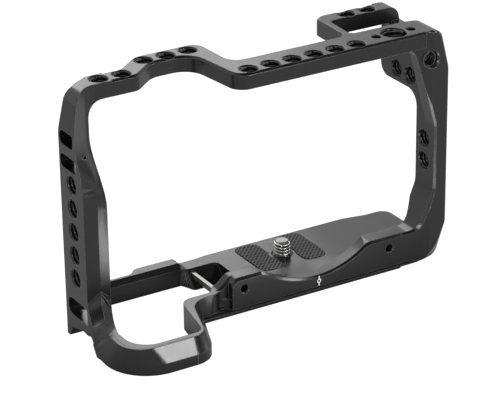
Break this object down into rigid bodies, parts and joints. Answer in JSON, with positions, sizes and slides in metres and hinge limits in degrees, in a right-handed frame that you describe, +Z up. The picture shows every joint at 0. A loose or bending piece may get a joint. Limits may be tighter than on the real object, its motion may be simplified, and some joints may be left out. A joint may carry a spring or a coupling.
{
  "type": "camera cage",
  "caption": "Open metal frame that bolts round a camera, with a grip loop, strap slots, threaded accessory holes, a captive base screw, rubber pads and a stored hex key.",
  "frame": {"origin": "on the ground, under the centre of the overall width and depth", "axes": "+X to the pillar side, away from the grip loop; -Y the front, where the lens looks; +Z up"},
  "size_m": [0.149, 0.064, 0.0942],
  "materials": {
    "anodised_frame": "satin black anodised, machined",
    "steel": "turned and drawn stainless steel",
    "rubber_pad": "matte, finely textured",
    "magnet": "nickel plated"
  },
  "bodies": {
    "frame": {"top_bar": "anodised_frame", "rear_bridge": "anodised_frame", "right_pillar": "anodised_frame", "grip_side_wall": "anodised_frame", "grip_loop": "anodised_frame", "base_plate": "anodised_frame", "rear_rail": "anodised_frame", "rubber_pad_left": "rubber_pad", "rubber_pad_right": "rubber_pad", "key_magnet": "magnet"},
    "camera_screw": {"camera_screw": "steel", "screw_retaining_ring": "steel"},
    "hex_key": {"hex_key": "steel"}
  },
  "joints": [
    {"name": "camera_screw_turn", "type": "hinge", "parent": "frame", "child": "camera_screw", "pos_m": [0.0182, 0.018, 0], "axis": [0, 0, 1], "continuous": true},
    {"name": "hex_key_draw", "type": "slide", "parent": "frame", "child": "hex_key", "axis": [0, 1, 0], "range_m": [0, 0.036]}
  ]
}
